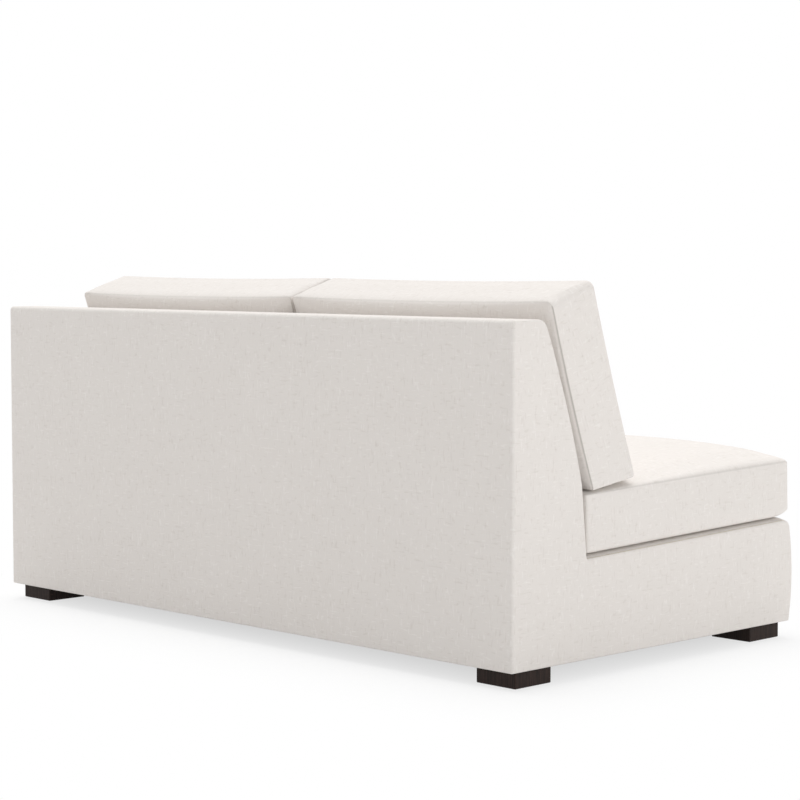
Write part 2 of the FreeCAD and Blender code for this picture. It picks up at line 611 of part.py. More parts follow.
SEAT_SPAN = math.hypot(DECK_REAR[0] - DECK_FRONT[0], DECK_FRONT[1] - DECK_REAR[1])
SEAT_HALF = (SEAT_SPAN - SEAT_FRONT_SETBACK - SEAT_REAR_GAP) / 2
CUSHION_SPAN = ARM_INNER - ARM_CLEARANCE - OPEN_END - END_SETBACK
CUSHION_HALF = (CUSHION_SPAN - CUSHION_GAP * (CUSHION_COUNT - 1)) / CUSHION_COUNT / 2
SEAT_ALONG = Vector(0, math.cos(DECK_TILT), -math.sin(DECK_TILT))
SEAT_FACE = Vector(0, math.sin(DECK_TILT), math.cos(DECK_TILT))
BACK_ALONG = Vector(0, math.sin(LEAN), math.cos(LEAN))
BACK_FACE = Vector(0, -math.cos(LEAN), math.sin(LEAN))
BACK_HALF = BACK_CUSHION_HEIGHT / 2
BACK_REAR_CROWN = BACK_SEAM_STANDOFF - BACK_SWELL - REST_GAP


def seat_origin():
    """Middle of the seat cushion's underside, just clear of the deck."""
    rear = Vector(0, *DECK_REAR)
    return rear - SEAT_ALONG * (SEAT_REAR_GAP + SEAT_HALF) + SEAT_FACE * REST_GAP


def seat_bows():
    """Bows of the seat's crown: a steep front shoulder, then one bow over the crest to the rear edge."""
    front = (-SEAT_HALF, 0.0)
    shoulder = (SEAT_SHOULDER_REACH - SEAT_HALF, SEAT_SHOULDER_RISE)
    crest = (SEAT_CREST_REACH - SEAT_HALF, SEAT_CROWN)
    return [bowed(front, shoulder, SEAT_SHOULDER_SWELL), (shoulder, crest, (SEAT_HALF, 0.0))]


def over_seat(point):
    """Height of a point over the middle of the crowned seat cushion, behind its shoulder."""
    offset = point - seat_origin()
    bow = [Vector(reach, rise, 0) for reach, rise in seat_bows()[1]]
    circle = Part.Arc(*bow).toShape().Curve
    reach = min(offset.dot(SEAT_ALONG), SEAT_HALF)
    rise = circle.Center.y + math.sqrt(circle.Radius ** 2 - (reach - circle.Center.x) ** 2)
    return offset.dot(SEAT_FACE) - SEAT_BOXING - rise


def back_origin():
    """Middle of the back cushion's rear seam outline, lowered until it rests on the seat cushion."""
    origin = Vector(0, *KNEE) + BACK_FACE * BACK_SEAM_STANDOFF + BACK_ALONG * BACK_HALF
    for _ in range(30):
        rear_edge = origin - BACK_ALONG * BACK_HALF
        front_edge = rear_edge + BACK_FACE * BACK_BOXING - BACK_ALONG * BACK_CUSHION_SAG
        clear = min(over_seat(rear_edge + (front_edge - rear_edge) * (part / 4)) for part in range(5))
        origin -= BACK_ALONG * (clear - REST_GAP)
    return origin


def seat_cushion(x):
    """Boxed seat cushion: flat below with an eased lower edge, crowned above, and its foam core."""
    outline = cushion_outline(CUSHION_HALF, SEAT_HALF, SEAT_CORNER, [SIDE_DRAW] * 4, 0, 0)
    boxing = Part.Face(outline).extrude(Vector(0, 0, SEAT_BOXING + SEAT_CROWN))
    boxing = boxing.makeChamfer(SEAT_BOTTOM_EASE, edges_at(boxing, lambda p: close(p.z, 0)))
    under = [bowed((-SEAT_HALF, 0.0), (SEAT_HALF, 0.0), 0.0)]
    whole = boxing.common(crowned_form([(0, -1, under), (SEAT_BOXING, 1, seat_bows())], CUSHION_HALF))
    core = block(CORE_WRAP - CUSHION_HALF, CUSHION_HALF - CORE_WRAP,
                 CORE_WRAP - SEAT_HALF, SEAT_HALF - CORE_WRAP, CORE_WRAP, SEAT_BOXING)
    origin = seat_origin() + Vector(x, 0, 0)
    return (placed(whole.cut(core), SEAT_ALONG, SEAT_FACE, origin),
            placed(core, SEAT_ALONG, SEAT_FACE, origin))


def back_cushion(x):
    """Boxed back cushion crowned on both faces, full at the top, settled lower in front, and its core."""
    draws = [SIDE_DRAW, -BACK_TOP_FULLNESS, SIDE_DRAW, 0]
    sag_rate = -BACK_CUSHION_SAG / BACK_BOXING
    outlines = [cushion_outline(CUSHION_HALF, BACK_HALF, BACK_CORNER, draws, sag_rate * level, level)
                for level in (-BACK_REAR_CROWN, BACK_BOXING + BACK_FRONT_CROWN)]
    boxing = Part.makeLoft(outlines, True, True)
    reach = BACK_HALF + BACK_TOP_FULLNESS + BACK_EDGE_LIP
    rear = [bowed((-reach, 0.0), (reach, 0.0), BACK_REAR_CROWN)]
    front = [bowed((-reach - BACK_CUSHION_SAG, 0.0), (reach - BACK_CUSHION_SAG, 0.0), BACK_FRONT_CROWN)]
    whole = boxing.common(crowned_form([(0, -1, rear), (BACK_BOXING, 1, front)], CUSHION_HALF))
    core = block(CORE_WRAP - CUSHION_HALF, CUSHION_HALF - CORE_WRAP,
                 CORE_WRAP - BACK_HALF, BACK_HALF - CORE_WRAP - BACK_CUSHION_SAG, 0, BACK_BOXING)
    origin = back_origin() + Vector(x, 0, 0)
    return (placed(whole.cut(core), BACK_ALONG, BACK_FACE, origin),
            placed(core, BACK_ALONG, BACK_FACE, origin))


def cushions():
    """Two loose seat cushions and two loose back cushions, side by side from the open end to the arm."""
    parts = {}
    for number, side in enumerate(("open", "arm")):
        x = OPEN_END + END_SETBACK + CUSHION_HALF + number * (2 * CUSHION_HALF + CUSHION_GAP)
        cover, core = seat_cushion(x)
        parts["seat_cover_" + side] = cover
        parts["seat_core_" + side] = core
        cover, core = back_cushion(x)
        parts["back_cushion_cover_" + side] = cover
        parts["back_cushion_core_" + side] = core
    return parts


os.makedirs("parts", exist_ok=True)
for group in (covers(), pads(), frame(), webbing(), feet(), cushions()):
    for node, shape in group.items():
        shape.exportStep("parts/%s.step" % node)
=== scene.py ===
import math

import bpy
import numpy as np
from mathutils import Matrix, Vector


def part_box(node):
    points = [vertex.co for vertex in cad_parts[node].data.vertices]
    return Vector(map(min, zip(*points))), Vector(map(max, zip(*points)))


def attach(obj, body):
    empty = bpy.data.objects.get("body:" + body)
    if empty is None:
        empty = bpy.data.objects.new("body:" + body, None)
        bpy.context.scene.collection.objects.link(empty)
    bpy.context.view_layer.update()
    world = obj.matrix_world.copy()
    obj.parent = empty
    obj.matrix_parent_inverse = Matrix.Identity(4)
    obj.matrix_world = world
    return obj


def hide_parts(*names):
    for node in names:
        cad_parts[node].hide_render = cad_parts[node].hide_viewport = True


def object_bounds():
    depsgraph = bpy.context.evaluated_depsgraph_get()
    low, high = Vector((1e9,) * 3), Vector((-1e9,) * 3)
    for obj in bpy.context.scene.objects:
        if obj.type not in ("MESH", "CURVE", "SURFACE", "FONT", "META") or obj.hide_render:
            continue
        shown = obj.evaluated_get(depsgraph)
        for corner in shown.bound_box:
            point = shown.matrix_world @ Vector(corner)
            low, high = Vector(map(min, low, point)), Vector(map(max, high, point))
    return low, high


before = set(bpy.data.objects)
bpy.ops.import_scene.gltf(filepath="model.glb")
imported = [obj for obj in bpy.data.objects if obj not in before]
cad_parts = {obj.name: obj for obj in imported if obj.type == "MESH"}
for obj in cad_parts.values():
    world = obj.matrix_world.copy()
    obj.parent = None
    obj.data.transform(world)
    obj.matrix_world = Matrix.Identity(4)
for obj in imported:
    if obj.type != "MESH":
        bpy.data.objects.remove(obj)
cad_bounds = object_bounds()

# Timber frame
# Planed softwood rails are glued and screwed between two cut plywood ends, an arm panel and two notched
# plywood ribs. Blocks in the four corners take the feet, and a sheet of hardboard closes the back.
RAILS_ACROSS = ("front_rail", "rear_seat_rail", "rear_bottom_rail", "back_top_rail", "back_low_rail")
RAILS_ALONG = ("arm_top_rail", "seat_side_rail", "seat_stretcher")
UPRIGHT_TIMBER = ("arm_front_board", "corner_blocks")
PLYWOOD = ("open_end_frame", "arm_end_frame", "arm_panel", "back_rib_1", "back_rib_2")
TIMBER_TONES = ((0.46, 0.29, 0.145, 1), (0.68, 0.50, 0.31, 1))
TIMBER_FIBRE = (0.30, 0.0016)
TIMBER_GROWTH = (0.90, 0.011)
PLY_TONES = ((0.40, 0.25, 0.13, 1), (0.70, 0.53, 0.34, 1))
PLY_GRAIN = (0.02, 0.0035, 0.25)
PLY_LAYER = 0.0028
BOARD_TONES = ((0.16, 0.085, 0.04, 1), (0.36, 0.22, 0.12, 1))
BOARD_FIBRE = 0.004
BOARD_CLOUD = 0.08
MILLIMETRE = 0.001


class Shade:
    """A shader socket that takes part in sums, products and other maths."""

    def __init__(self, tree, socket=None):
        self.tree = tree
        self.socket = socket

    def node(self, kind, settings=(), sockets=(), output=0):
        made = self.tree.nodes.new(kind)
        for key, value in dict(settings).items():
            setattr(made, key, value)
        for key, value in dict(sockets).items():
            if isinstance(value, Shade):
                self.tree.links.new(value.socket, made.inputs[key])
            else:
                made.inputs[key].default_value = value
        return Shade(self.tree, made.outputs[output] if len(made.outputs) else None)

    def math(self, operation, other=0.0):
        return self.node("ShaderNodeMath", {"operation": operation}, {0: self, 1: other})

    def __add__(self, other):
        return self.math("ADD", other)

    def __sub__(self, other):
        return self.math("SUBTRACT", other)

    def __mul__(self, other):
        return self.math("MULTIPLY", other)

    __radd__ = __add__
    __rmul__ = __mul__

    def ramp(self, low, high, to_low=0.0, to_high=1.0):
        return self.node("ShaderNodeMapRange", {"interpolation_type": "SMOOTHSTEP"},
                         {0: self, 1: low, 2: high, 3: to_low, 4: to_high})

    def mix(self, dark, light):
        return self.node("ShaderNodeMix", {"data_type": "RGBA"}, {0: self, 6: dark, 7: light}, 2)

    def place(self):
        """Place on the object, in metres."""
        return self.node("ShaderNodeTexCoord", {}, {}, "Object")

    def part(self, axis):
        return self.node("ShaderNodeSeparateXYZ", {}, {0: self}, axis)

    def wave(self, length):
        """Sine of a place along one axis, with one period in the length."""
        return (self * (2 * math.pi / length)).math("SINE")

    def measured(self, sizes, shift=0.0):
        """Place counted in the given sizes, one for each axis or one for all, instead of metres."""
        counts = tuple(1 / float(size) for size in np.broadcast_to(sizes, 3))
        return self.node("ShaderNodeVectorMath", {"operation": "MULTIPLY_ADD"},
                         {0: self, 1: counts, 2: (shift, shift, shift)})

    def noise(self, sizes, detail, shift=0.0):
        """Noise with spots of the given sizes."""
        return self.node("ShaderNodeTexNoise", {},
                         {"Vector": self.measured(sizes, shift), "Scale": 1.0, "Detail": detail})


def drawn_out(grain, length, width):
    """Sizes of a spot that is drawn out along one axis, the grain."""
    return [length if axis == grain else width for axis in range(3)]


def new_material(name):
    """Empty material and a first socket to build its nodes from."""
    material = bpy.data.materials.new(name)
    material.use_nodes = True
    material.node_tree.nodes.clear()
    return material, Shade(material.node_tree)


def finish_material(start, colour, roughness, bump, specular=0.5, sockets=()):
    """Surface with a bumped normal, the bump given in millimetres, joined to the material's output."""
    normal = start.node("ShaderNodeBump", {}, {"Strength": 1.0, "Distance": MILLIMETRE, "Height": bump})
    surface = start.node("ShaderNodeBsdfPrincipled", {},
                         {"Base Color": colour, "Roughness": roughness, "Normal": normal,
                          "Specular IOR Level": specular, **dict(sockets)})
    start.node("ShaderNodeOutputMaterial", {}, {"Surface": surface})


def softwood(name, grain):
    """Pale planed timber: streaks drawn out along the grain and broad growth bands across it."""
    material, start = new_material(name)
    place = start.place()
    fibre = place.noise(drawn_out(grain, *TIMBER_FIBRE), 3.0)
    bands = place.noise(drawn_out(grain, *TIMBER_GROWTH), 2.0, 7.0)
    tone = 0.55 * bands.ramp(0.35, 0.65) + 0.45 * fibre.ramp(0.3, 0.7)
    finish_material(start, tone.mix(*TIMBER_TONES), 0.62 + 0.12 * fibre, 0.12 * fibre, specular=0.3)
    return material


def plywood():
    """Cut plywood: birch faces with upright grain and edges striped by the glued layers."""
    material, start = new_material("plywood")
    place = start.place()
    grain = place.noise(PLY_GRAIN, 3.0)
    layer = place.part(0).wave(PLY_LAYER).ramp(-0.4, 0.4)
    tone = 0.35 * layer + 0.65 * grain.ramp(0.3, 0.7)
    finish_material(start, tone.mix(*PLY_TONES), 0.66, 0.10 * grain, specular=0.3)
    return material


def hardboard():
    """Pressed brown fibre board with a matted surface."""
    material, start = new_material("hardboard")
    place = start.place()
    mat = place.noise(BOARD_FIBRE, 4.0)
    cloud = place.noise(BOARD_CLOUD, 2.0, 3.0)
    tone = 0.6 * mat + 0.4 * cloud
    finish_material(start, tone.mix(*BOARD_TONES), 0.7, 0.15 * mat, specular=0.3)
    return material


def dress(material, *names):
    """Give CAD nodes of the right shape their finish."""
    for name in names:
        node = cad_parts[name]
        node.data.materials.clear()
        node.data.materials.append(material)


dress(softwood("timber_across", 0), *RAILS_ACROSS)
dress(softwood("timber_along", 1), *RAILS_ALONG)
dress(softwood("timber_upright", 2), *UPRIGHT_TIMBER)
dress(plywood(), *PLYWOOD)
dress(hardboard(), "back_board")

# Webbing
# Elastic tape of ribbed tan weave over rubber cords, stretched and stapled over the rails: woven both
# ways under the seat, upright in the back.
TAPE_TONES = ((0.14, 0.075, 0.04, 1), (0.50, 0.36, 0.22, 1))
TAPE_RIB = 0.0024
TAPE_CORD = 0.0061
TAPE_FLUFF = 0.003


def elastic_tape(name, run, across):
    """Tan tape: fine ribs across the run of the tape and coloured rubber cords along it."""
    material, start = new_material(name)
    place = start.place()
    rib = place.part(run).wave(TAPE_RIB).ramp(-1, 1)
    cord = place.part(across).wave(TAPE_CORD).ramp(-0.3, 0.6)
    tone = 0.55 * cord + 0.25 * rib + 0.2 * place.noise(TAPE_FLUFF, 3.0)
    finish_material(start, tone.mix(*TAPE_TONES), 0.85, 0.25 * rib + 0.2 * cord, specular=0.2)
    return material


dress(elastic_tape("seat_tape", 1, 0), "seat_straps")
dress(elastic_tape("cross_tape", 0, 1), "cross_straps")
dress(elastic_tape("back_tape", 2, 0), "back_straps")

# Padding
# Slabs of cut foam glued to the frame under the fabric, and paler foam with larger cells in the cushions'
# cores.
PADS = ("top_pad", "back_pad", "deck_pad", "front_pad", "arm_pad", "arm_top_pad", "arm_front_pad")
PAD_TONES = ((0.70, 0.62, 0.42, 1), (0.86, 0.80, 0.62, 1))
PAD_CELL = 0.0022
CORES = ("seat_core_open", "seat_core_arm", "back_cushion_core_open", "back_cushion_core_arm")
CORE_TONES = ((0.74, 0.74, 0.70, 1), (0.90, 0.90, 0.87, 1))
CORE_CELL = 0.0026
FOAM_CLOUD = 0.15


def foam(name, tones, cell):
    """Open-celled foam: small round cells and slow yellowing."""
    material, start = new_material(name)
    place = start.place()
    cells = start.node("ShaderNodeTexVoronoi", {}, {"Vector": place.measured(cell), "Scale": 1.0})
    tone = 0.5 * cells + 0.5 * place.noise(FOAM_CLOUD, 2.0)
    finish_material(start, tone.mix(*tones), 0.95, 0.5 * cells, specular=0.1)
    return material


dress(foam("pad_foam", PAD_TONES, PAD_CELL), *PADS)
dress(foam("core_foam", CORE_TONES, CORE_CELL), *CORES)

# Back upholstery
# One length of slubbed ivory fabric pulled over the back: up the flat rear, over the top and down the
# padded, leaning inside. The edges are soft where the fabric turns over the frame's corners.
rear_low, rear_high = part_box("outside_back_cover")
arm_low, arm_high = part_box("arm_cover")
REAR = rear_high[1]
BOTTOM = rear_low[2]
BACK_TOP = rear_high[2]
OPEN_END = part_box("open_end_cover")[0][0]
ARM_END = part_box("arm_end_cover")[1][0]
ARM_INSIDE = arm_low[0]
ARM_TOP = arm_high[2]
TOP_DEPTH = 0.095
KNEE_DEPTH = 0.209
KNEE_HEIGHT = 0.400
DECK_REAR_DEPTH = 0.224
DECK_REAR_HEIGHT = 0.2505
REAR_FOOT = (REAR, BOTTOM)
REAR_TOP = (REAR, BACK_TOP)
TOP_FRONT = (REAR - TOP_DEPTH, BACK_TOP)
KNEE = (REAR - KNEE_DEPTH, KNEE_HEIGHT)
DECK_REAR = (REAR - DECK_REAR_DEPTH, DECK_REAR_HEIGHT)
BACK_SWELL = 0.007
HEM = 0.007
HEM_RADIUS = 0.003
TOP_REAR_RADIUS = 0.009
TOP_FRONT_RADIUS = 0.028
BACK_RADII = (HEM_RADIUS, TOP_REAR_RADIUS, TOP_FRONT_RADIUS)
LEAN_RADIUS = 0.4
KNEE_RADIUS = 0.060
SHARPEST_RADIUS = 0.0005
EDGE = 0.006
RIM = EDGE + 0.002
LINE_SPACING = 0.012
STATION_SPACING = 0.03
ARC_STEPS = 8
FABRIC_TONES = ((0.722, 0.675, 0.632, 1), (0.869, 0.832, 0.799, 1))
FABRIC_THREAD = 0.0013
FABRIC_CLOUD = 0.14
SLUB_LENGTH = 0.017
SLUB_WIDTH = 0.0042
SLUB_LIGHT = (0.66, 0.82)
SLUB_DARK = (0.32, 0.18)
# Painted shade at the cushions' seams: the fabric is darkened towards this colour by SEAM_SHADE times each
# point's seam mark.
SEAM_SHADE_COLOUR = (0.30, 0.27, 0.24, 1)
SEAM_SHADE = 0.42


def rounded_line(points, radii, swells, insets=0.0):
    """Profile line: straight or bowed runs joined by corner arcs, each run moved to its left by its inset.

    A bowed run adds 4 s (1 - s) times its swell to the right of the run, s going from 0 to 1 along it.
    """
    p = np.array(points, float)
    run = np.diff(p, axis=0)
    length = np.hypot(run[:, 0], run[:, 1])
    d = run / length[:, None]
    left = np.stack([-d[:, 1], d[:, 0]], 1)
    shift = np.zeros(len(d)) + insets
    cross = d[:-1, 0] * d[1:, 1] - d[:-1, 1] * d[1:, 0]
    q = p.copy()
    q[0] += left[0] * shift[0]
    q[-1] += left[-1] * shift[-1]
    q[1:-1] += (shift[:-1, None] * d[1:] - shift[1:, None] * d[:-1]) / cross[:, None]
    turn = np.arctan2(cross, (d[:-1] * d[1:]).sum(1))
    radius = np.array(radii) - (shift[:-1] + shift[1:]) / 2 * np.sign(turn)
    radius = np.maximum(radius, SHARPEST_RADIUS)
    tangent = np.concatenate([[0], radius * np.tan(np.abs(turn) / 2), [0]])
    line = []
    for k in range(len(d)):
        s = np.linspace(0, 1, max(int(length[k] / LINE_SPACING), 2))[:, None]
        start = q[k] + d[k] * tangent[k]
        end = q[k + 1] - d[k] * tangent[k + 1]
        line.append(start + (end - start) * s - left[k] * swells[k] * 4 * s * (1 - s))
        if k < len(turn):
            spoke = -left[k] * radius[k] * np.sign(turn[k])
            angle = np.linspace(0, turn[k], ARC_STEPS + 1)[1:-1]
            arc = np.stack([spoke[0] * np.cos(angle) - spoke[1] * np.sin(angle),
                            spoke[0] * np.sin(angle) + spoke[1] * np.cos(angle)], 1)
            line.append(end - spoke + arc)
    return np.concatenate(line)


def distance_along(line):
    """Length from the start of a line to each of its points."""
    steps = np.linalg.norm(np.diff(line, axis=0), axis=1)
    return np.concatenate([[0], np.cumsum(steps)])


def carried(places, lines):
    """Grid of points: one line, given by its depths and heights, at each place across the width."""
    grid = np.empty(lines.shape[:2] + (3,))
    grid[..., 0] = np.array(places)[:, None]
    grid[..., 1:] = lines
    return grid


def grid_faces(rows, columns):
    """Four-cornered faces of a grid of rows by columns vertices."""
    index = np.arange(rows * columns).reshape(rows, columns)
    quads = np.stack([index[:-1, :-1], index[:-1, 1:], index[1:, 1:], index[1:, :-1]], -1)
    return quads.reshape(-1, 4)


def into_scene(name, data, place=(0, 0, 0), turn=(0, 0, 0)):
    """Object made of its data and put into the scene."""
    made = bpy.data.objects.new(name, data)
    made.location = place
    made.rotation_euler = turn
    bpy.context.scene.collection.objects.link(made)
    return made


def ivory_fabric():
    """Ivory plain weave with scattered thick places in the yarn both ways, and painted shade along the
    seams.
    """
    material, start = new_material("ivory_fabric")
    uv = start.node("ShaderNodeUVMap", {"uv_map": "fabric"})
    weft = uv.noise((SLUB_LENGTH, SLUB_WIDTH, 1), 0.0, 1.3)
    warp = uv.noise((SLUB_WIDTH, SLUB_LENGTH, 1), 0.0, 2.6)
    cloud = uv.noise((FABRIC_CLOUD, FABRIC_CLOUD, 1), 2.0, 3.9)
    threads = uv.part(0).wave(2 * FABRIC_THREAD) * uv.part(1).wave(2 * FABRIC_THREAD)
    light = weft.ramp(*SLUB_LIGHT) + warp.ramp(*SLUB_LIGHT)
    dark = weft.ramp(*SLUB_DARK) + warp.ramp(*SLUB_DARK)
    tone = 0.60 + 0.26 * light - 0.28 * dark + 0.12 * (cloud - 0.5)
    # Painted shade: the seam mark darkens the fabric along the cushions' seams.
    seam = start.node("ShaderNodeAttribute", {"attribute_name": "seam"}, {}, "Fac")
    colour = (SEAM_SHADE * seam).mix(tone.mix(*FABRIC_TONES), SEAM_SHADE_COLOUR)
    bump = 0.22 * (light - dark) + 0.05 * threads
    finish_material(start, colour, 0.92, bump, specular=0.2, sockets={"Sheen Weight": 0.1})
    return material


fabric = ivory_fabric()


def fabric_piece(name, vertices, faces, corner_uv):
    """Smooth piece of the fabric, whose coordinates are given for each corner of each face."""
    mesh = bpy.data.meshes.new(name)
    mesh.from_pydata(vertices.tolist(), [], faces)
    layer = mesh.uv_layers.new(name="fabric")
    layer.data.foreach_set("uv", np.ascontiguousarray(corner_uv, dtype=np.float32).ravel())
    mesh.shade_smooth()
    mesh.materials.append(fabric)
    return into_scene(name, mesh)


def swept_cover(name, points, radii, swells, stations):
    """Fabric drawn across the width: the rounded profile line at every station, a place and an inset."""
    places, insets = zip(*stations)
    lines = np.stack([rounded_line(points, radii, swells, inset) for inset in insets])
    grid = carried(places, lines)
    uv = np.empty(grid.shape[:2] + (2,))
    uv[..., 0] = grid[..., 0]
    uv[..., 1] = distance_along(lines[0])
    faces = grid_faces(*grid.shape[:2])[:, ::-1]
    return fabric_piece(name, grid.reshape(-1, 3), faces.tolist(), uv.reshape(-1, 2)[faces])


def even_stations(x_from, x_to):
    """Evenly spaced stations with no inset."""
    return [(x, 0.0) for x in np.linspace(x_from, x_to, int((x_to - x_from) / STATION_SPACING) + 2)]


lean = np.subtract(KNEE, TOP_FRONT)
lean_out = np.array([lean[1], -lean[0]]) / np.linalg.norm(lean)
arm_share = (BACK_TOP - ARM_TOP) / (BACK_TOP - KNEE[1])
swell_at_arm = BACK_SWELL * 4 * arm_share * (1 - arm_share)
ARM_MEETS_BACK = tuple(TOP_FRONT + lean * arm_share + lean_out * swell_at_arm)
UPPER_SWELL = BACK_SWELL * arm_share ** 2
LOWER_SWELL = BACK_SWELL * (1 - arm_share) ** 2
back_run = [REAR_FOOT, REAR_TOP, TOP_FRONT, ARM_MEETS_BACK]
back_cover = swept_cover("back_upholstery", [(REAR - HEM, BOTTOM)] + back_run + [KNEE, DECK_REAR],
                         BACK_RADII + (LEAN_RADIUS, KNEE_RADIUS), (0, 0, 0, UPPER_SWELL, LOWER_SWELL, 0),
                         even_stations(OPEN_END + RIM, ARM_END - RIM))
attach(back_cover, "body")
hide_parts("outside_back_cover", "inside_back_cover")

# Seat base upholstery
# The platform under the cushions and the slightly swollen front border, in one length of the fabric
# with a broad soft front edge. It rolls down a little at the open end and is tucked in at the arm.
FRONT = -0.459
DECK_FRONT = (FRONT, 0.274)
FRONT_FOOT = (FRONT, BOTTOM)
FRONT_HEM = (FRONT + HEM, BOTTOM)
FRONT_SWELL = 0.010
DECK_RADIUS = 0.022
DECK_DROP = 0.005
DECK_ROLL = 0.024
ROLL_STEPS = 6
TUCK = 0.005
TUCK_STEPS = 5
roll_end = OPEN_END + RIM + DECK_ROLL
tuck_start = ARM_INSIDE - TUCK
base_stations = [(OPEN_END + RIM + DECK_ROLL * part, (DECK_DROP * (1 - part) ** 2, 0, 0))
                 for part in np.linspace(0, 1, ROLL_STEPS + 1)[:-1]]
base_stations += even_stations(roll_end, tuck_start)
base_stations += [(tuck_start + TUCK * math.sin(turn), TUCK * (1 - math.cos(turn)))
                  for turn in np.linspace(0, math.pi / 2, TUCK_STEPS + 1)[1:]]
base_cover = swept_cover("seat_base_upholstery", [DECK_REAR, DECK_FRONT, FRONT_FOOT, FRONT_HEM],
                         (DECK_RADIUS, HEM_RADIUS), (0, FRONT_SWELL, 0), base_stations)
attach(base_cover, "body")
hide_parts("deck_cover", "front_border_cover")

# Open end panel
# The flat end without an arm: one panel of fabric cut to the side profile and turned softly round its rim,
# most of all under the seat cushion.
UNDER = ((FRONT + REAR) / 2, BOTTOM)
CREASE_RADIUS = 0.004
DECK_RIM = 0.009
RIM_STEPS = 7
FACE_SHARE = 1.4
END_UV = 5.0


def end_panel(name, points, radii, swells, rims, face_x, inward, drops=0.0):
    """Flat panel with a rounded rim: the profile line shrinks by each run's rim as it turns to the face.

    The drops are what the runs are moved in by already where the rim begins. The last line lies in the face,
    a little further in than the rim.
    """
    turn = np.linspace(0, math.pi / 2, RIM_STEPS + 1)
    depth = np.concatenate([[RIM], EDGE * (1 - np.sin(turn)), [0]])
    share = np.concatenate([[0], 1 - np.cos(turn), [FACE_SHARE]])
    rings = np.stack([rounded_line(points, radii, swells, drops + part * np.array(rims)) for part in share])
    vertices = carried(face_x + inward * depth, rings).reshape(-1, 3)
    faces = grid_faces(*rings.shape[:2]).tolist()
    faces.append(list(range(len(vertices) - rings.shape[1], len(vertices))))
    if inward < 0:
        faces = [face[::-1] for face in faces]
    uv = vertices[:, 1:] + END_UV
    return fabric_piece(name, vertices, faces, uv[np.concatenate(faces)])


open_panel = end_panel("open_end_upholstery",
                       [UNDER] + back_run + [KNEE, DECK_REAR, DECK_FRONT, FRONT_FOOT, UNDER],
                       BACK_RADII + (LEAN_RADIUS, KNEE_RADIUS, CREASE_RADIUS, DECK_RADIUS, HEM_RADIUS),
                       (0, 0, 0, UPPER_SWELL, LOWER_SWELL, 0, 0, FRONT_SWELL, 0),
                       (HEM_RADIUS,) + (EDGE,) * 5 + (DECK_RIM, EDGE, HEM_RADIUS), OPEN_END, 1,
                       np.array((0,) * 6 + (DECK_DROP, 0, 0)))
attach(open_panel, "body")
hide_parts("open_end_cover")

# Arm
# A square track arm closes the far end: the fabric goes over its top and down its front, with a panel
# inside and a panel outside that also covers the end of the back.
ARM_REAR = (ARM_MEETS_BACK[0] + EDGE, ARM_MEETS_BACK[1])
ARM_FRONT = (FRONT, ARM_TOP)
arm_wrap = swept_cover("arm_upholstery", [ARM_REAR, ARM_FRONT, FRONT_FOOT, FRONT_HEM],
                       (EDGE, HEM_RADIUS), (0, FRONT_SWELL, 0),
                       even_stations(ARM_INSIDE + RIM, ARM_END - RIM))
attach(arm_wrap, "body")
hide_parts("arm_front_cover")

arm_inside = end_panel("arm_inside_upholstery", [ARM_REAR, ARM_FRONT, FRONT_FOOT],
                       (EDGE,), (0, FRONT_SWELL), (EDGE, EDGE), ARM_INSIDE, 1)
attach(arm_inside, "body")
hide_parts("arm_cover")

arm_end = end_panel("arm_end_upholstery", [UNDER] + back_run + [ARM_FRONT, FRONT_FOOT, UNDER],
                    BACK_RADII + (CREASE_RADIUS, EDGE, HEM_RADIUS),
                    (0, 0, 0, UPPER_SWELL, 0, FRONT_SWELL, 0),
                    (HEM_RADIUS,) + (EDGE,) * 5 + (HEM_RADIUS,), ARM_END, -1)
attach(arm_end, "body")
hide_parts("arm_end_cover")

# Dust cloth
# Thin charcoal non-woven fabric, pressed from matted fibre and stapled under the frame. It has the fine
# dimples of its bonding roller.
DUST_TONES = ((0.018, 0.018, 0.019, 1), (0.075, 0.075, 0.078, 1))
DUST_DIMPLE = 0.0026
DUST_FIBRE = (0.02, 0.002)


def dust_cloth():
    """Dark matted fibre with a grid of small pressed dimples."""
    material, start = new_material("dust_cloth")
    place = start.place()
    dimple = (place.part(0).wave(DUST_DIMPLE) * place.part(1).wave(DUST_DIMPLE)).ramp(0.2, 0.8)
    fibre = place.noise(drawn_out(1, *DUST_FIBRE), 4.0)
    tone = 0.7 * fibre + 0.3 * dimple
    finish_material(start, tone.mix(*DUST_TONES), 0.9, 0.1 * fibre - 0.15 * dimple, specular=0.2)
    return material


dress(dust_cloth(), "dust_cloth")

# Feet
# Low square blocks of espresso-stained wood with upright grain, each on a nylon glide and held by a
# zinc-plated stud in a tee nut.
FEET = ("foot_front_open", "foot_rear_open", "foot_front_arm", "foot_rear_arm")
ESPRESSO_TONES = ((0.009, 0.0056, 0.0045, 1), (0.047, 0.027, 0.021, 1))
ESPRESSO_STREAK = (0.11, 0.0022)
ESPRESSO_PORE = (0.018, 0.0011)
ZINC_TONES = ((0.42, 0.43, 0.44, 1), (0.62, 0.63, 0.62, 1))
ZINC_SPANGLE = 0.004
NYLON_TONES = ((0.10, 0.10, 0.10, 1), (0.17, 0.17, 0.165, 1))
NYLON_GRAIN = 0.0008


def espresso_wood():
    """Dark stained wood: fine upright streaks and open pores under a satin lacquer."""
    material, start = new_material("espresso_wood")
    place = start.place()
    streak = place.noise(drawn_out(2, *ESPRESSO_STREAK), 3.0)
    pores = place.noise(drawn_out(2, *ESPRESSO_PORE), 2.0, 4.0)
    tone = 0.65 * streak.ramp(0.34, 0.68) + 0.35 * pores.ramp(0.4, 0.62)
    finish_material(start, tone.mix(*ESPRESSO_TONES), 0.42 + 0.15 * streak, 0.12 * pores + 0.1 * streak,
                    specular=0.15)
    return material


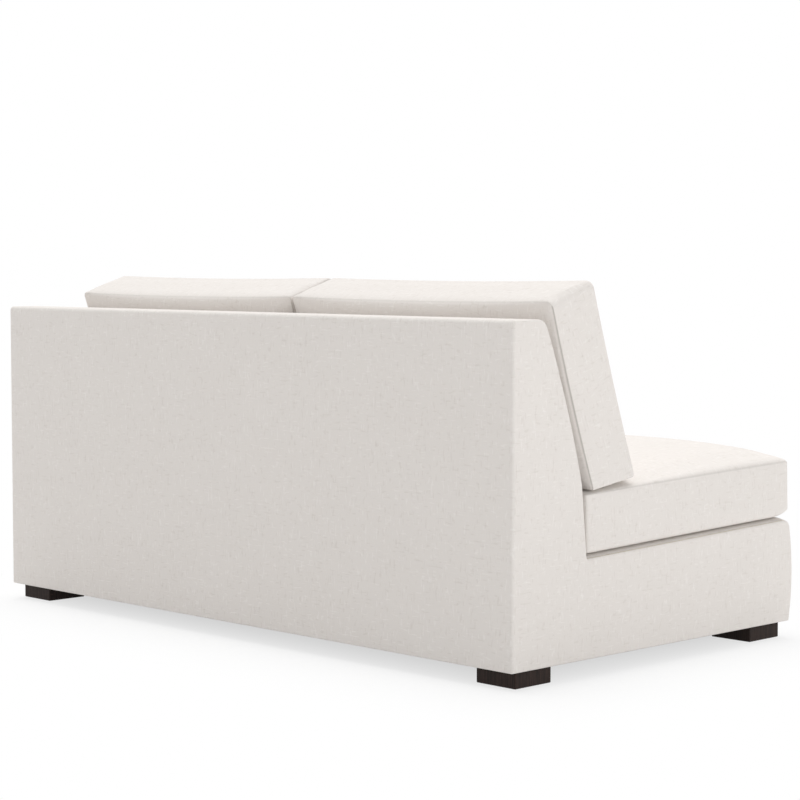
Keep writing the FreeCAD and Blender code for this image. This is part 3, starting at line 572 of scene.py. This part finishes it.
def plated_steel():
    """Zinc plate: grey metal with soft cloudy spangle."""
    material, start = new_material("plated_steel")
    cloud = start.place().noise(ZINC_SPANGLE, 3.0)
    finish_material(start, cloud.mix(*ZINC_TONES), 0.28 + 0.2 * cloud, 0.03 * cloud,
                    sockets={"Metallic": 1.0})
    return material


def grey_nylon():
    """Moulded nylon with a fine matt grain."""
    material, start = new_material("grey_nylon")
    grain = start.place().noise(NYLON_GRAIN, 3.0)
    finish_material(start, grain.mix(*NYLON_TONES), 0.5, 0.05 * grain)
    return material


dress(espresso_wood(), *FEET)
dress(plated_steel(), "foot_bolts", "tee_nuts")
dress(grey_nylon(), "glides")

# Seat cushions
# Two loose boxed cushions of foam in a wadded wrap. The top is sewn to the boxing with a plain seam along
# its edge and swells into a soft crown, and the boxing turns under in a round that eases up at the sides
# and the front.
SEAT_BOXING = 0.126
SEAT_CORNERS = (0.008, 0.008, 0.008, 0.008)
SEAT_CROWN = (0.040, 0.20, 0.65)
SEAT_UNDER_RADIUS = 0.008
SEAT_EASE = (0.006, 0.010)
SEAT_EASE_REACH = 0.050
# Strength of the painted shade along the seat cushions' seams.
SEAT_SEAM_SHADE = 0.6
SEAM_SINK = 0.0015
SEAM_ROLL = 0.3
SIDE_DRAW = 0.003
FLAT = (0.0, 1.0, 1.0)
LEVEL = (0.0, 0.0)
CROWN_ACROSS = 0.4
PANEL_GIVE = 0.005
BOXING_GIVE = 0.003
INWARD_GIVE = 0.2
EDGE_STEPS = np.array([0, 2, 5, 9, 14, 19, 24, 32, 42]) * MILLIMETRE
PANEL_SPACING = 0.013
SEAM_STEPS = np.array([0, 2, 5, 9, 15, 23]) * MILLIMETRE
BOXING_SPACING = 0.010
UNDER_STEPS = 6
PLAIN_UV = 3.0
BOXING_UV = 7.0
CLOTH = {"quality": 6, "mass": 0.3, "tension_stiffness": 15, "compression_stiffness": 15,
         "shear_stiffness": 10, "bending_stiffness": 0.5, "vertex_group_mass": "held",
         "use_pressure": True, "uniform_pressure_force": 8.0}
CLOTH_FRAMES = 20


def spaced(half):
    """Places from -half to half, close together near both ends and even between them."""
    reach = half - EDGE_STEPS[-1]
    middle = np.linspace(-reach, reach, round(2 * reach / PANEL_SPACING) + 1)
    return np.concatenate([EDGE_STEPS[:-1] - half, middle, half - EDGE_STEPS[-2::-1]])


def rounded_plan(a, b, half_a, half_b, corners, draws):
    """Plan of a panel: a rectangle grid whose corners become arcs and whose sides bow inwards.

    Near a corner a point is turned on to the arc of its own ring, the ring's radius being the corner (near
    left, near right, far left, far right) less the distance to the edge. The draw of a side (left and right,
    far, near) is full in its middle, nothing at its corners, and fades with the cube of the distance from
    the panel's centre.
    """
    corner = np.array(corners)[2 * (b > 0) + (a > 0)]
    to_side = half_a - np.abs(a)
    to_end = half_b - np.abs(b)
    ring = np.minimum(to_side, to_end)
    step = np.maximum(to_side, to_end) - ring
    radius = corner - ring
    on_arc = step < radius
    share = np.where(to_side < to_end, -1.0, 1.0) * np.where(on_arc, step / np.maximum(radius, 1e-9), 0)
    angle = math.pi / 4 * (1 + share)
    x = np.where(on_arc, half_a - corner + radius * np.cos(angle), np.abs(a))
    y = np.where(on_arc, half_b - corner + radius * np.sin(angle), np.abs(b))
    side_draw, far_draw, near_draw = draws
    end_draw = np.where(b > 0, far_draw, near_draw)
    bow_x = side_draw * np.clip(1 - (b / (half_b - corner)) ** 2, 0, 1) * (np.abs(a) / half_a) ** 3
    bow_y = end_draw * np.clip(1 - (a / (half_a - corner)) ** 2, 0, 1) * (np.abs(b) / half_b) ** 3
    return np.stack([np.sign(a) * (x - bow_x), np.sign(b) * (y - bow_y)], -1)


def boxed_cushion(half_a, half_b, corners, boxing, sewn_crown, plain_crown, radius, draws, sag):
    """Closed boxed cushion in its own axes: a sewn panel at the height boxing, a plain panel at zero.

    A crown is a rise, a near and a far power: the panel rises by (1 - a^2)^0.4 (1 + b)^near (1 - b)^far,
    a and b going from -1 to 1, scaled to the rise at its peak. The boxing goes straight down from the sunk
    seam and turns under in a quarter round. The sag shears the plain side along b, at b's two ends.
    """
    a = spaced(half_a)
    b = spaced(half_b)
    grid_a, grid_b = np.meshgrid(a, b, indexing="ij")
    near_seam = boxing - SEAM_STEPS
    straight = near_seam[-1] - radius
    even = np.linspace(near_seam[-1], radius, round(straight / BOXING_SPACING) + 1)[1:]
    turn = np.linspace(0, math.pi / 2, UNDER_STEPS + 1)[1:]
    height = np.concatenate([near_seam, even, radius * (1 - np.sin(turn))])
    inset = np.concatenate([[SEAM_SINK, SEAM_SINK * SEAM_ROLL], np.zeros(len(near_seam) - 2 + len(even)),
                            radius * (1 - np.cos(turn))])

    def plan(points_a, points_b, ring_inset):
        half_in_a = half_a - ring_inset
        half_in_b = half_b - ring_inset
        return rounded_plan(points_a * half_in_a / half_a, points_b * half_in_b / half_b,
                            half_in_a, half_in_b,
                            [corner - min(ring_inset, corner / 2) for corner in corners], draws)

    def raised(crown):
        rise, near, far = crown
        peak = (near - far) / (near + far)
        full = (1 + peak) ** near * (1 - peak) ** far
        along = np.clip(grid_b / half_b, -1, 1)
        across = np.clip(grid_a / half_a, -1, 1)
        return rise * (1 - across ** 2) ** CROWN_ACROSS * (1 + along) ** near * (1 - along) ** far / full

    def quads(grid):
        return np.stack([grid[:-1, :-1], grid[1:, :-1], grid[1:, 1:], grid[:-1, 1:]], 2)

    sewn_index = np.arange(grid_a.size).reshape(grid_a.shape)
    plain_index = sewn_index + grid_a.size
    border = np.concatenate([sewn_index[:-1, 0], sewn_index[-1, :-1],
                             sewn_index[:0:-1, -1], sewn_index[0, :0:-1]])
    border_a = grid_a.ravel()[border]
    border_b = grid_b.ravel()[border]
    sewn = np.dstack([plan(grid_a, grid_b, SEAM_SINK), boxing + raised(sewn_crown)]).reshape(-1, 3)
    plain = np.dstack([plan(grid_a, grid_b, radius), -raised(plain_crown)]).reshape(-1, 3)
    band = np.concatenate([np.column_stack([plan(border_a, border_b, ring_inset), 0 * border_a + level])
                           for ring_inset, level in zip(inset[1:-1], height[1:-1])])
    points = np.concatenate([sewn, plain, band])
    sag_here = np.interp(points[:, 1], [-half_b, half_b], sag)
    points[:, 1] -= sag_here * (1 - np.clip(points[:, 2] / boxing, 0, 1))
    give = np.full(len(points), BOXING_GIVE)
    give[:2 * grid_a.size] = PANEL_GIVE
    band_index = np.arange(len(band)).reshape(-1, len(border)) + 2 * grid_a.size
    rings = np.concatenate([border[None], band_index, border[None] + grid_a.size])
    wrapped = np.concatenate([rings, rings[:, :1]], 1)
    panels = np.concatenate([quads(sewn_index).reshape(-1, 4), quads(plain_index).reshape(-1, 4)[:, ::-1]])
    faces = np.concatenate([panels, quads(wrapped).reshape(-1, 4)])
    flat_uv = np.concatenate([sewn[:, :2], plain[:, :2] + PLAIN_UV])
    around = distance_along(points[wrapped[len(height) // 2]])
    down = distance_along(np.column_stack([inset, height]))
    band_uv = np.stack(np.broadcast_arrays(around[None, :], down[:, None] + BOXING_UV), -1)
    corner_uv = np.concatenate([flat_uv[panels], quads(band_uv).reshape(-1, 4, 2)])
    return points, faces, corner_uv, give, border, plain_index.ravel()


def swelled(points, faces, held, give):
    """Cloth under inner pressure with the held points pinned, then moved along its normals only.

    A point moves outwards by give tanh(way / give), and inwards by a fifth of that give at most.
    """
    mesh = bpy.data.meshes.new("swelling")
    mesh.from_pydata(points.tolist(), [], faces.tolist())
    cloth_body = into_scene("swelling", mesh)
    cloth_body.vertex_groups.new(name="held").add(held.tolist(), 1.0, "REPLACE")
    cloth = cloth_body.modifiers.new("cloth", "CLOTH")
    for key, value in CLOTH.items():
        setattr(cloth.settings, key, value)
    cloth.settings.effector_weights.gravity = 0.0
    for step in range(1, CLOTH_FRAMES + 1):
        bpy.context.scene.frame_set(step)
    shaped = cloth_body.evaluated_get(bpy.context.evaluated_depsgraph_get())
    result = np.empty(points.size)
    shaped.data.vertices.foreach_get("co", result)
    normal = np.empty(points.size)
    mesh.vertex_normals.foreach_get("vector", normal)
    normal = normal.reshape(-1, 3)
    bpy.data.objects.remove(cloth_body)
    bpy.context.scene.frame_set(1)
    way = ((result.reshape(-1, 3) - points) * normal).sum(1)
    bound = np.where(way > 0, give, give * INWARD_GIVE)
    return points + normal * (bound * np.tanh(way / bound))[:, None]


def place_cushion(name, points, faces, corner_uv, seam, painted_seam_shade, axes, origin):
    """Piece of a cushion turned from its own axes into the frame, with painted shade marked along its seam
    for the fabric.
    """
    piece = fabric_piece(name, origin + points @ axes, faces.tolist(), corner_uv.reshape(-1, 2))
    seam_shade_marks = np.zeros(len(points), np.float32)
    # Painted shade: each seam point carries how much the fabric is darkened there.
    seam_shade_marks[seam] = painted_seam_shade
    piece.data.attributes.new("seam", "FLOAT", "POINT").data.foreach_set("value", seam_shade_marks)
    smooth = piece.modifiers.new("smooth", "SUBSURF")
    smooth.levels = 1
    smooth.render_levels = 1
    return piece


def node_points(name):
    """Corner points of a CAD node."""
    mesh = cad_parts[name].data
    points = np.empty(len(mesh.vertices) * 3)
    mesh.vertices.foreach_get("co", points)
    return points.reshape(-1, 3)


deck_run = np.subtract(DECK_REAR, DECK_FRONT) / np.linalg.norm(np.subtract(DECK_REAR, DECK_FRONT))
seat_axes = np.array([[1, 0, 0], [0, deck_run[0], deck_run[1]], [0, -deck_run[1], deck_run[0]]])
for side in ("open", "arm"):
    local = node_points("seat_cover_" + side) @ seat_axes.T
    low, high = local.min(0), local.max(0)
    half = (high - low) / 2
    middle = np.array([(low[0] + high[0]) / 2, (low[1] + high[1]) / 2, low[2]])
    points, faces, corner_uv, give, seam, under = boxed_cushion(
        half[0], half[1], SEAT_CORNERS, SEAT_BOXING, SEAT_CROWN, FLAT, SEAT_UNDER_RADIUS,
        (SIDE_DRAW,) * 3, LEVEL)
    to_edge = np.stack([half[0] - np.abs(points[:, 0]), points[:, 1] + half[1]], 1)
    eased = SEAT_EASE * (1 - np.clip(to_edge / SEAT_EASE_REACH, 0, 1)) ** 2
    points[:, 2] += eased.sum(1) * np.clip(1 - points[:, 2] / SEAT_BOXING, 0, 1)
    points = swelled(points, faces, np.concatenate([seam, under]), give)
    points[:, 0] = np.clip(points[:, 0], -half[0], half[0])
    points[:, 2] = np.maximum(points[:, 2], 0)
    cushion = place_cushion("seat_cushion_%s_upholstery" % side, points, faces, corner_uv, seam,
                            SEAT_SEAM_SHADE, seat_axes, middle @ seat_axes)
    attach(cushion, "seat_cushion_" + side)
    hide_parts("seat_cover_" + side)

# Back cushions
# Two loose boxed cushions leaning on the back, softer than the seat. The rear panel is sewn to the boxing
# with a plain seam, the front is full and settles a little lower than the rear.
BACK_BOXING = 0.139
BACK_CORNERS = {"open": (0.008, 0.008, 0.010, 0.018), "arm": (0.008, 0.008, 0.010, 0.010)}
BACK_FRONT_CROWN = (0.042, 0.7, 0.7)
BACK_REAR_CROWN = (0.030, 0.45, 0.45)
BACK_REST = 0.0226
BACK_FRONT_RADIUS = 0.014
BACK_DRAWS = (SIDE_DRAW, 0.004, 0.006)
BACK_SAG = (0.026, 0.0)
# Strength of the painted shade along the back cushions' seams: deep on the sides, light across the top,
# where light from above falls.
BACK_SEAM_SHADE = (1.6, 0.4)
BACK_SEAM_TURN = 0.012
CORE_SAG = 0.013
CORE_WRAP = 0.025
up = -lean / np.linalg.norm(lean)
back_axes = np.array([[-1, 0, 0], [0, up[0], up[1]], [0, up[1], -up[0]]])
for side in ("open", "arm"):
    cover = node_points("back_cushion_cover_" + side) @ back_axes.T
    core = node_points("back_cushion_core_" + side) @ back_axes.T
    half_width = (cover[:, 0].max() - cover[:, 0].min()) / 2
    half_height = (core[:, 1].max() - core[:, 1].min() + CORE_SAG) / 2 + CORE_WRAP
    middle = np.array([(cover[:, 0].max() + cover[:, 0].min()) / 2,
                       core[:, 1].min() - CORE_WRAP + half_height, core[:, 2].max() - BACK_BOXING])
    points, faces, corner_uv, give, seam, _ = boxed_cushion(
        half_width, half_height, BACK_CORNERS[side], BACK_BOXING, BACK_REAR_CROWN, BACK_FRONT_CROWN,
        BACK_FRONT_RADIUS, BACK_DRAWS, BACK_SAG)
    points = swelled(points, faces, seam, give)
    points[:, 0] = np.clip(points[:, 0], -half_width, half_width)
    points[:, 2] = np.minimum(points[:, 2], BACK_BOXING + BACK_REST)
    # Painted shade along the seam, weaker within BACK_SEAM_TURN of the top.
    painted_seam_shade = np.where(points[seam, 1] < half_height - BACK_SEAM_TURN, *BACK_SEAM_SHADE)
    cushion = place_cushion("back_cushion_%s_upholstery" % side, points, faces, corner_uv, seam,
                            painted_seam_shade, back_axes, middle @ back_axes)
    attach(cushion, "back_cushion_" + side)
    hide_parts("back_cushion_cover_" + side)

# Studio
# A pale floor that goes over into a white background, broad soft light from above the arm's side, a weak
# lamp to fill in the open end, and an even sky.
FLOOR_HALF = 30.0
FLOOR_COLOUR = (0.84, 0.84, 0.84, 1)
SKY_COLOUR = (0.60, 0.60, 0.60, 1)
WHITE = (1, 1, 1, 1)
# Painted light on the floor's shadow: the camera-only white's share goes from SHADOW_WHITE at SHADOW_UNDER
# inside the footprint to all of it at SHADOW_REACH outside.
SHADOW_UNDER = 0.35
SHADOW_REACH = 0.36
SHADOW_WHITE = 0.55
KEY_SPREAD = math.radians(60)
KEY_STRENGTH = 1.93
KEY_TURN = (0, math.radians(24), math.radians(-20))
FILL_SIZE = 2.0
FILL_POWER = 29.0
FILL_PLACE = (-4.5, 0.0, 0.6)
FILL_TURN = (0, -math.pi / 2, 0)
SENSOR_WIDTH = 36.0
LENS = 98.65
CAMERA_PLACE = (-3.764, 3.6166, 0.8585)
CAMERA_DIP = math.radians(3.71)
CAMERA_TURN = (math.pi / 2 - CAMERA_DIP, 0, math.radians(-134.37))


def seen_directly(start):
    """One for rays from the camera, from a mirror or through glass, zero for rays that light the object."""
    rays = [start.node("ShaderNodeLightPath", {}, {}, kind)
            for kind in ("Is Camera Ray", "Is Glossy Ray", "Is Transmission Ray")]
    return rays[0].math("MAXIMUM", rays[1].math("MAXIMUM", rays[2]))


def pale_floor():
    """Matt floor that turns white with the distance from the object's footprint, less so under it: its
    shadow is painted lighter.

    The distance counts from the footprint's edge, and is less than zero inside it.
    """
    material, start = new_material("floor")
    place = start.place()
    past = [place.part(axis).math("ABSOLUTE") - float(cad_bounds[1][axis]) for axis in (0, 1)]
    beside = [way.math("MAXIMUM", 0.0) for way in past]
    outside = (beside[0] * beside[0] + beside[1] * beside[1]).math("SQRT")
    inside = past[0].math("MAXIMUM", past[1]).math("MINIMUM", 0.0)
    # Painted light: more camera-only white further from the footprint, so the cast shadow fades out.
    share = (outside + inside).ramp(-SHADOW_UNDER, SHADOW_REACH, SHADOW_WHITE, 1.0)
    matt = start.node("ShaderNodeBsdfDiffuse", {}, {"Color": FLOOR_COLOUR})
    white = start.node("ShaderNodeEmission", {}, {"Color": WHITE})
    surface = start.node("ShaderNodeMixShader", {}, {0: seen_directly(start) * share, 1: matt, 2: white})
    start.node("ShaderNodeOutputMaterial", {}, {"Surface": surface})
    return material


floor_mesh = bpy.data.meshes.new("floor")
floor_mesh.from_pydata([(-FLOOR_HALF, -FLOOR_HALF, 0), (FLOOR_HALF, -FLOOR_HALF, 0),
                        (FLOOR_HALF, FLOOR_HALF, 0), (-FLOOR_HALF, FLOOR_HALF, 0)], [], [(0, 1, 2, 3)])
floor_mesh.materials.append(pale_floor())
floor = into_scene("floor", floor_mesh)

world = bpy.data.worlds.new("studio")
world.use_nodes = True
world.node_tree.nodes.clear()
sky = Shade(world.node_tree)
lit = sky.node("ShaderNodeBackground", {}, {"Color": SKY_COLOUR})
white = sky.node("ShaderNodeBackground", {}, {"Color": WHITE})
both = sky.node("ShaderNodeMixShader", {}, {0: seen_directly(sky), 1: lit, 2: white})
sky.node("ShaderNodeOutputWorld", {}, {"Surface": both})
bpy.context.scene.world = world

key = bpy.data.lights.new("key", "SUN")
key.angle = KEY_SPREAD
key.energy = KEY_STRENGTH
into_scene("key", key, turn=KEY_TURN)

fill = bpy.data.lights.new("fill", "AREA")
fill.shape = "DISK"
fill.size = FILL_SIZE
fill.energy = FILL_POWER
into_scene("fill", fill, FILL_PLACE, FILL_TURN)

camera = bpy.data.cameras.new("camera")
camera.sensor_width = SENSOR_WIDTH
camera.lens = LENS
bpy.context.scene.camera = into_scene("camera", camera, CAMERA_PLACE, CAMERA_TURN)
bpy.context.scene.view_settings.view_transform = "Standard"
